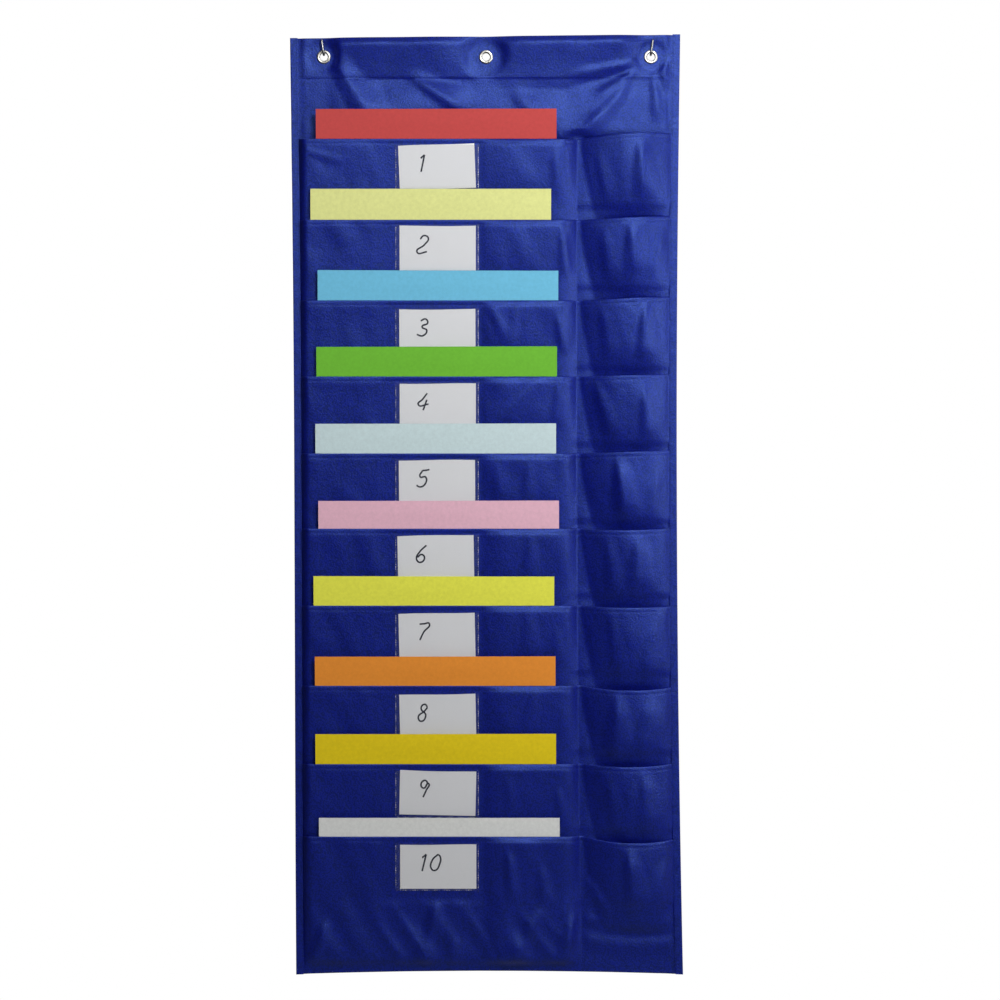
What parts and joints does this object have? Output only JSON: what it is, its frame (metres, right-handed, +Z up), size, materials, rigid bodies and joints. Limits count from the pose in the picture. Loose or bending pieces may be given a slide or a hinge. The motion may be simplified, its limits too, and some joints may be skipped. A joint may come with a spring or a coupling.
{
  "type": "hanging storage pocket chart",
  "caption": "Hanging cloth pocket chart: cascading file pockets with clear card windows, a column of phone pockets, eyelets and wire hooks.",
  "frame": {"origin": "centre of the middle eyelet on the panel's back face, on the line from which the chart hangs", "axes": "+Z up along the chart, +X to the right seen from the front, -Y out of the front"},
  "size_m": [0.4859, 0.0377, 1.1628],
  "materials": {
    "blue_cloth": "royal blue woven polyester, fine plain weave, soft sheen",
    "blue_tape": "royal blue binding tape, folded and stitched",
    "clear_vinyl": "clear soft vinyl sheet",
    "white_card": "white card, a plain number in marker",
    "nickel": "nickel-plated brass",
    "steel_wire": "bright zinc-plated wire",
    "paper_01": "matt red paper",
    "paper_02": "matt pale yellow paper",
    "paper_03": "matt sky blue paper",
    "paper_04": "matt green paper",
    "paper_05": "matt pale blue paper",
    "paper_06": "matt pink paper",
    "paper_07": "matt yellow paper",
    "paper_08": "matt orange paper",
    "paper_09": "matt gold paper",
    "paper_10": "matt off-white paper"
  },
  "bodies": {
    "root": {"back_panel": "blue_cloth", "left_binding": "blue_tape", "right_binding": "blue_tape", "pocket_strip_01": "blue_cloth", "pocket_strip_02": "blue_cloth", "pocket_strip_03": "blue_cloth", "pocket_strip_04": "blue_cloth", "pocket_strip_05": "blue_cloth", "pocket_strip_06": "blue_cloth", "pocket_strip_07": "blue_cloth", "pocket_strip_08": "blue_cloth", "pocket_strip_09": "blue_cloth", "pocket_strip_10": "blue_cloth", "card_window_01": "clear_vinyl", "card_window_02": "clear_vinyl", "card_window_03": "clear_vinyl", "card_window_04": "clear_vinyl", "card_window_05": "clear_vinyl", "card_window_06": "clear_vinyl", "card_window_07": "clear_vinyl", "card_window_08": "clear_vinyl", "card_window_09": "clear_vinyl", "card_window_10": "clear_vinyl", "eyelet_left": "nickel", "eyelet_middle": "nickel", "eyelet_right": "nickel", "eyelet_washer_left": "nickel", "eyelet_washer_middle": "nickel", "eyelet_washer_right": "nickel"},
    "card_01": {"name_card_01": "white_card"},
    "card_02": {"name_card_02": "white_card"},
    "card_03": {"name_card_03": "white_card"},
    "card_04": {"name_card_04": "white_card"},
    "card_05": {"name_card_05": "white_card"},
    "card_06": {"name_card_06": "white_card"},
    "card_07": {"name_card_07": "white_card"},
    "card_08": {"name_card_08": "white_card"},
    "card_09": {"name_card_09": "white_card"},
    "card_10": {"name_card_10": "white_card"},
    "sheet_01": {"file_sheet_01": "paper_01"},
    "sheet_02": {"file_sheet_02": "paper_02"},
    "sheet_03": {"file_sheet_03": "paper_03"},
    "sheet_04": {"file_sheet_04": "paper_04"},
    "sheet_05": {"file_sheet_05": "paper_05"},
    "sheet_06": {"file_sheet_06": "paper_06"},
    "sheet_07": {"file_sheet_07": "paper_07"},
    "sheet_08": {"file_sheet_08": "paper_08"},
    "sheet_09": {"file_sheet_09": "paper_09"},
    "sheet_10": {"file_sheet_10": "paper_10"},
    "hook_left": {"hook_left": "steel_wire"},
    "hook_right": {"hook_right": "steel_wire"}
  },
  "joints": [
    {"name": "card_01_slide", "type": "slide", "parent": "root", "child": "card_01", "axis": [0, -0.0942, 0.9956], "range_m": [0, 0.06]},
    {"name": "card_02_slide", "type": "slide", "parent": "root", "child": "card_02", "axis": [0, -0.0942, 0.9956], "range_m": [0, 0.06]},
    {"name": "card_03_slide", "type": "slide", "parent": "root", "child": "card_03", "axis": [0, -0.0942, 0.9956], "range_m": [0, 0.06]},
    {"name": "card_04_slide", "type": "slide", "parent": "root", "child": "card_04", "axis": [0, -0.0942, 0.9956], "range_m": [0, 0.06]},
    {"name": "card_05_slide", "type": "slide", "parent": "root", "child": "card_05", "axis": [0, -0.0942, 0.9956], "range_m": [0, 0.06]},
    {"name": "card_06_slide", "type": "slide", "parent": "root", "child": "card_06", "axis": [0, -0.0942, 0.9956], "range_m": [0, 0.06]},
    {"name": "card_07_slide", "type": "slide", "parent": "root", "child": "card_07", "axis": [0, -0.0942, 0.9956], "range_m": [0, 0.06]},
    {"name": "card_08_slide", "type": "slide", "parent": "root", "child": "card_08", "axis": [0, -0.0942, 0.9956], "range_m": [0, 0.06]},
    {"name": "card_09_slide", "type": "slide", "parent": "root", "child": "card_09", "axis": [0, -0.0942, 0.9956], "range_m": [0, 0.06]},
    {"name": "card_10_slide", "type": "slide", "parent": "root", "child": "card_10", "axis": [0, -0.0942, 0.9956], "range_m": [0, 0.06]},
    {"name": "sheet_01_slide", "type": "slide", "parent": "root", "child": "sheet_01", "axis": [0, -0.0942, 0.9956], "range_m": [0, 0.155]},
    {"name": "sheet_02_slide", "type": "slide", "parent": "root", "child": "sheet_02", "axis": [0, -0.0942, 0.9956], "range_m": [0, 0.155]},
    {"name": "sheet_03_slide", "type": "slide", "parent": "root", "child": "sheet_03", "axis": [0, -0.0942, 0.9956], "range_m": [0, 0.155]},
    {"name": "sheet_04_slide", "type": "slide", "parent": "root", "child": "sheet_04", "axis": [0, -0.0942, 0.9956], "range_m": [0, 0.155]},
    {"name": "sheet_05_slide", "type": "slide", "parent": "root", "child": "sheet_05", "axis": [0, -0.0942, 0.9956], "range_m": [0, 0.155]},
    {"name": "sheet_06_slide", "type": "slide", "parent": "root", "child": "sheet_06", "axis": [0, -0.0942, 0.9956], "range_m": [0, 0.155]},
    {"name": "sheet_07_slide", "type": "slide", "parent": "root", "child": "sheet_07", "axis": [0, -0.0942, 0.9956], "range_m": [0, 0.155]},
    {"name": "sheet_08_slide", "type": "slide", "parent": "root", "child": "sheet_08", "axis": [0, -0.0942, 0.9956], "range_m": [0, 0.155]},
    {"name": "sheet_09_slide", "type": "slide", "parent": "root", "child": "sheet_09", "axis": [0, -0.0942, 0.9956], "range_m": [0, 0.155]},
    {"name": "sheet_10_slide", "type": "slide", "parent": "root", "child": "sheet_10", "axis": [0, -0.0942, 0.9956], "range_m": [0, 0.155]},
    {"name": "hook_left_swing", "type": "hinge", "parent": "root", "child": "hook_left", "pos_m": [-0.2007, 0, 0.00295], "axis": [0, 1, 0], "range_deg": [-17, 33]},
    {"name": "hook_right_swing", "type": "hinge", "parent": "root", "child": "hook_right", "pos_m": [0.2039, 0, 0.00295], "axis": [0, 1, 0], "range_deg": [-33, 17]}
  ]
}
